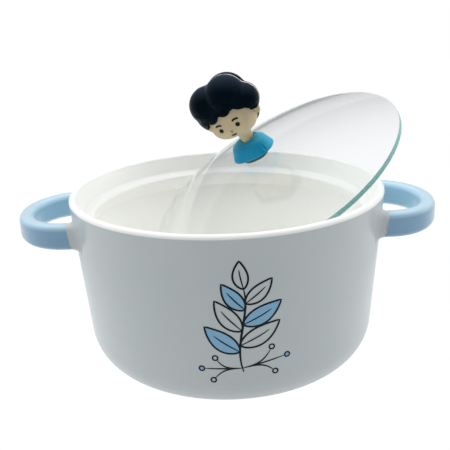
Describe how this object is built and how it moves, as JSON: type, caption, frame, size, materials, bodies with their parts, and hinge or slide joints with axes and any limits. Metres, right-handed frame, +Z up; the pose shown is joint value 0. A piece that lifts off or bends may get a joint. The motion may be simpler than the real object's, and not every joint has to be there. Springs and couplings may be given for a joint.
{
  "type": "lidded bowl",
  "caption": "Deep round glazed ceramic bowl with strap handles and a domed glass lid with a figure knob, for serving and keeping soup or noodles warm.",
  "frame": {"origin": "centre of the foot's underside, on the table", "axes": "+Z up; +X through the right handle as seen from the front; the printed front looks to -Y"},
  "size_m": [0.2246, 0.168, 0.1555],
  "materials": {
    "white_glaze": "gloss",
    "blue_glaze": "gloss",
    "lid_glass": "polished",
    "clear_adhesive": "clear",
    "base_plastic": "satin",
    "shirt_plastic": "satin",
    "skin_plastic": "matte",
    "hair_plastic": "satin",
    "cream_plastic": "matte",
    "dark_paint": "satin"
  },
  "bodies": {
    "bowl": {"bowl": "white_glaze", "handle_left": "blue_glaze", "handle_right": "blue_glaze"},
    "lid": {"lid_glass": "lid_glass", "knob_pad": "clear_adhesive", "knob_base": "base_plastic", "knob_shirt": "shirt_plastic", "knob_head": "skin_plastic", "hair_front": "hair_plastic", "hair_back": "hair_plastic", "hair_core": "cream_plastic", "eye_left": "dark_paint", "eye_right": "dark_paint", "brow_left": "dark_paint", "brow_right": "dark_paint", "nose": "skin_plastic", "mouth": "dark_paint"}
  },
  "joints": [
    {"name": "lid_lift", "type": "slide", "parent": "bowl", "child": "lid", "axis": [0, 0, 1], "range_m": [0, 0.12]}
  ]
}
